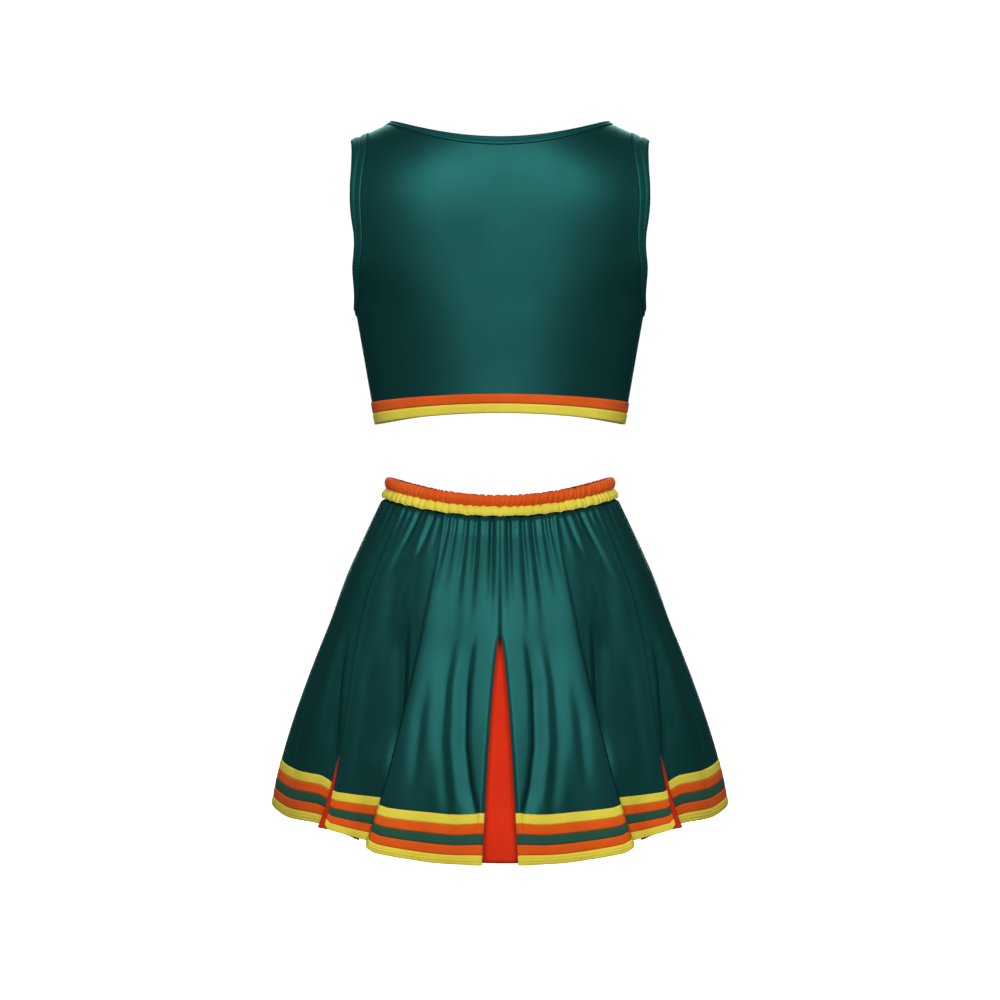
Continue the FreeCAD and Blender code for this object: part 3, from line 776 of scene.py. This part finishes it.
def bodice_place(face):
    """A bodice as a patch between its hem, its neckline and shoulders, and at each side the side
    seam and armhole."""
    margin = BINDING - TUCKED_UNDER
    neck = neck_outline(margin, face)
    underarm = beside(0.0, armhole_outline(-math.pi / 2, margin)[1], face)[1]
    seam_rise = 2 * TOP_BAND - TUCKED_UNDER
    side_start = hem_level(90, seam_rise, face)
    corner = 0.27
    neck_share = 0.84
    tip = beside(0.0, armhole_outline(math.pi / 2, margin)[1], face)
    neck_end = behind(*neck(1.0))[0]

    def bottom(u):
        return Vector((90 * u, hem_level(90 * u, seam_rise, face)))

    def top(u):
        if u < neck_share:
            return Vector(behind(*neck(u / neck_share)))
        return Vector((mix(neck_end, tip[0], (u - neck_share) / (1 - neck_share)), 1.0))

    def edge(v):
        if v < corner:
            return Vector((90.0, mix(side_start, underarm, v / corner)))
        angle = mix(-math.pi / 2, math.pi / 2, (v - corner) / (1 - corner))
        y, z = armhole_outline(angle, margin)
        return Vector(beside(y, z, face)) if v < 1 else Vector((tip[0], 1.0))

    def middle(v):
        return Vector((0.0, mix(bottom(0).y, top(0).y, v)))
    known = {}

    def recall(line, t):
        if (line, t) not in known:
            known[line, t] = line(t)
        return known[line, t]

    def place(across, down):
        u = abs(2 * across - 1)
        v = 1 - down
        sides = recall(middle, v) * (1 - u) + recall(edge, v) * u
        ends = recall(bottom, u) * (1 - v) + recall(top, u) * v
        corners = ((recall(bottom, 0) * (1 - u) + recall(bottom, 1) * u) * (1 - v)
                   + (recall(top, 0) * (1 - u) + recall(top, 1) * u) * v)
        phi, level = sides + ends - corners
        return torso_point(math.copysign(phi, across - 0.5), min(1.0, level), face)
    return place


def bodice_relief(u, v):
    """A faint crease pressed down the middle."""
    return -0.0004 * math.exp(-((u - 0.5) / 0.004) ** 2) * smooth((0.7 - v) / 0.5)


BODICE_CUT = {"back": (0.34, 0.31), "front": (0.36, 0.26)}
for name, face in (("back", 1), ("front", -1)):
    cut = BODICE_CUT[name]
    bodice = cloth(f"{name}_bodice_satin", bodice_place(face), 120, 110, cut, bodice_relief, TOP_CLOTH)
    dress(bodice, satin, "green_knit")
    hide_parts(f"{name}_bodice")
    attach(bodice, "top")


# ---- Bindings and hem bands ----------------------------------------------------------------------
# Folded strips of the green knit bind the neck and armholes, sewn down with a row of stitches that
# sinks a groove. Below the bodice an orange and a yellow band of knit make the top's hem.

binding_knit = fabric("green binding", (0.0100, 0.086, 0.079), (0.0075, 0.067, 0.062), 0.0006,
                      roughness=(0.38, 0.46), relief=0.2, metallic=0.6, specular=0.08,
                      glow=(0.05, 0.5, 0.45))


def binding_roll(u, v):
    """Two soft rolls with a stitched groove between them."""
    edge = 0.0013 * math.sin(math.pi * min(1.0, v / 0.5))
    inner = 0.0007 * math.sin(math.pi * max(0.0, (v - 0.5) / 0.5))
    return 0.0006 + max(0.0, edge) + inner - 0.0006 * math.exp(-((v - 0.5) / 0.06) ** 2)


def neck_place(turn, v):
    face = 1 if turn < 0.5 else -1
    t = 4 * turn - 1 if face > 0 else 3 - 4 * turn
    x, z = neck_outline(BINDING * v, face)(t)
    phi, level = behind(x, z)
    return torso_point(math.copysign(phi, x), level if abs(t) < 1 else 1.0, face)


def armhole_place(side):
    def place(turn, v):
        face = 1 if turn < 0.5 else -1
        angle = mix(-math.pi / 2, math.pi / 2, 2 * turn if face > 0 else 2 - 2 * turn)
        y, z = armhole_outline(angle, BINDING * v)
        phi, level = beside(y, z, face)
        point = torso_point(phi, level, face)
        return Vector((side * point.x, point.y, point.z))
    return place


def band_place(low, high):
    def place(turn, v):
        face = 1 if turn < 0.25 or turn >= 0.75 else -1
        phi = 360 * turn if turn < 0.25 else (180 - 360 * turn if turn < 0.75 else 360 * turn - 360)
        return torso_point(phi, hem_level(phi, mix(high, low, v), face), face)
    return place


def band_roll(u, v):
    return 0.0004 + 0.0007 * smooth(min(v, 1 - v) / 0.12)


ARMHOLE_CUT = (0.50, 0.012)
trims = (("neck_binding", neck_place, 320, 10, (0.72, 0.012), binding_roll, binding_knit, "green_binding"),
         ("armhole_binding_left", armhole_place(1), 220, 10, ARMHOLE_CUT, binding_roll, binding_knit,
          "green_binding"),
         ("armhole_binding_right", armhole_place(-1), 220, 10, ARMHOLE_CUT, binding_roll, binding_knit,
          "green_binding"),
         ("top_band_orange", band_place(TOP_BAND, 2 * TOP_BAND), 320, 8, (0.71, TOP_BAND), band_roll,
          orange_knit, "orange_knit"),
         ("top_band_yellow", band_place(0.0, TOP_BAND), 320, 8, (0.70, TOP_BAND), band_roll,
          yellow_knit, "yellow_knit"))
for name, place, across, down, cut, roll, material, slot in trims:
    trim = cloth(f"{name}_folded", place, across, down, cut, roll, TOP_CLOTH, ring=True)
    dress(trim, material, slot)
    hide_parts(name)
    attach(trim, "top")


# ---- Stitches ------------------------------------------------------------------------------------
# Rows of green thread, each stitch a small tapered lozenge that lies in the groove of a binding
# and holds it down. One stitch is modelled and copied along each row.

STITCH_LENGTH = 0.0024
STITCH_PITCH = 0.0034
THREAD_RADIUS = 0.00035

thread = fabric("green thread", (0.018, 0.120, 0.110), (0.012, 0.085, 0.078), 0.0004, roughness=(0.35, 0.45),
                relief=0.4, specular=0.3, glow=(0.1, 0.6, 0.55), place="Object")
bpy.ops.object.select_all(action="DESELECT")
bpy.ops.mesh.primitive_cylinder_add(vertices=6, radius=THREAD_RADIUS, depth=STITCH_LENGTH / 2,
                                    end_fill_type="NGON")
stitch = bpy.context.active_object
bpy.ops.object.mode_set(mode="EDIT")
for end in (1, -1):
    bpy.ops.mesh.select_all(action="DESELECT")
    bpy.ops.object.mode_set(mode="OBJECT")
    for polygon in stitch.data.polygons:
        polygon.select = polygon.normal.z * end > 0.9
    bpy.ops.object.mode_set(mode="EDIT")
    bpy.ops.mesh.extrude_region_move(TRANSFORM_OT_translate={"value": (0, 0, end * STITCH_LENGTH / 4)})
    bpy.ops.transform.resize(value=(0.35, 0.35, 1))
bpy.ops.object.mode_set(mode="OBJECT")


def sew(name, path, length):
    """A row of stitches along a closed path on the top, path(turn) for turn from 0 to 1."""
    count = round(length / STITCH_PITCH)
    row = []
    for k in range(count):
        turn = (k + 0.5) / count
        along = path(turn + 0.2 / count) - path(turn - 0.2 / count)
        copy = bpy.data.objects.new(name, stitch.data.copy())
        turned = along.to_track_quat("Z", "Y").to_matrix().to_4x4()
        copy.data.transform(Matrix.Translation(path(turn)) @ turned)
        bpy.context.scene.collection.objects.link(copy)
        row.append(copy)
    bpy.ops.object.select_all(action="DESELECT")
    for copy in row:
        copy.select_set(True)
    bpy.context.view_layer.objects.active = row[0]
    bpy.ops.object.join()
    row[0].name = name
    dress(row[0], thread, "green_binding")
    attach(row[0], "top")


for name, place, length in (("neck", neck_place, 0.72), ("armhole_left", armhole_place(1), 0.46),
                            ("armhole_right", armhole_place(-1), 0.46)):
    def groove(turn):
        point = place(turn % 1.0, 0.5)
        along = place((turn + 0.002) % 1.0, 0.5) - place((turn - 0.002) % 1.0, 0.5)
        out = along.cross(place(turn % 1.0, 0.6) - place(turn % 1.0, 0.4)).normalized()
        if out.dot(point - Vector((0, 0, point.z))) < 0:
            out = -out
        return point + out * 0.0003
    sew(f"{name}_stitches", groove, length)
bpy.data.objects.remove(stitch)


# ---- Studio --------------------------------------------------------------------------------------
# A pale seamless floor that curves up into the wall all round, large soft lights before and behind,
# and the camera at the wearer's back.

bpy.ops.object.select_all(action="DESELECT")
bpy.ops.mesh.primitive_circle_add(vertices=96, radius=3.0, fill_type="NGON", location=(0, 0, -0.75))
studio = bpy.context.active_object
studio.name = "studio_floor"
bpy.ops.object.mode_set(mode="EDIT")
bpy.ops.mesh.select_mode(type="EDGE")
COVE_RADIUS = 1.5
COVE_STEPS = 10
wall = 3.0
for step in range(1, COVE_STEPS + 1):
    before = math.pi / 2 * (step - 1) / COVE_STEPS
    after = math.pi / 2 * step / COVE_STEPS
    wider = 3.0 + COVE_RADIUS * math.sin(after)
    bpy.ops.mesh.extrude_region_move(
        TRANSFORM_OT_translate={"value": (0, 0, COVE_RADIUS * (math.cos(before) - math.cos(after)))})
    bpy.ops.transform.resize(value=(wider / wall, wider / wall, 1), center_override=(0, 0, 0))
    wall = wider
bpy.ops.mesh.extrude_region_move(TRANSFORM_OT_translate={"value": (0, 0, 4.5)})
bpy.ops.object.mode_set(mode="OBJECT")
bpy.ops.object.shade_smooth()
bpy.ops.object.transform_apply(location=True, rotation=True, scale=True)

paper = bpy.data.materials.new("studio paper")
paper.use_nodes = True
sheet_shader = paper.node_tree.nodes["Principled BSDF"]
sheet_shader.inputs["Base Color"].default_value = (0.9, 0.9, 0.9, 1.0)
sheet_shader.inputs["Roughness"].default_value = 0.9
sheet_shader.inputs["Emission Color"].default_value = (1.0, 1.0, 1.0, 1.0)
sheet_shader.inputs["Emission Strength"].default_value = 0.75
studio.data.materials.append(paper)
studio.visible_diffuse = False
studio.visible_glossy = False


def soft_light(name, place, aim, size, watts):
    light = bpy.data.lights.new(name, "AREA")
    light.shape = "RECTANGLE"
    light.size, light.size_y = size
    light.energy = watts
    lamp = bpy.data.objects.new(name, light)
    lamp.location = place
    lamp.rotation_euler = (Vector(aim) - Vector(place)).to_track_quat("-Z", "Y").to_euler()
    bpy.context.scene.collection.objects.link(lamp)


for face, name in ((1, "back"), (-1, "front")):
    for side in (1, -1):
        soft_light(f"softbox_{name}_{side}", (side * 0.75, face * 2.3, 1.9), (0, 0, 0.1), (0.9, 1.3),
                   36 if face > 0 else 28)
    soft_light(f"fill_{name}", (0, face * 2.8, -0.2), (0, 0, -0.1), (2.0, 0.8), 24)
for side in (1, -1):
    soft_light(f"side_{side}", (side * 3.0, 0, 1.2), (0, 0, 0), (1.0, 1.6), 7)

world = bpy.data.worlds.new("room")
bpy.context.scene.world = world
world.use_nodes = True
world.node_tree.nodes["Background"].inputs["Color"].default_value = (0.95, 0.97, 1.0, 1.0)
world.node_tree.nodes["Background"].inputs["Strength"].default_value = 0.13
bpy.context.scene.view_settings.view_transform = "Standard"

lens = bpy.data.cameras.new("camera")
lens.lens = 66.06
lens.sensor_width = 36.0
camera = bpy.data.objects.new("camera", lens)
camera.location = (0, 2.0, 0.05)
camera.rotation_euler = (Vector((0, 0, -0.0045)) - camera.location).to_track_quat("-Z", "Y").to_euler()
bpy.context.scene.collection.objects.link(camera)
bpy.context.scene.camera = camera
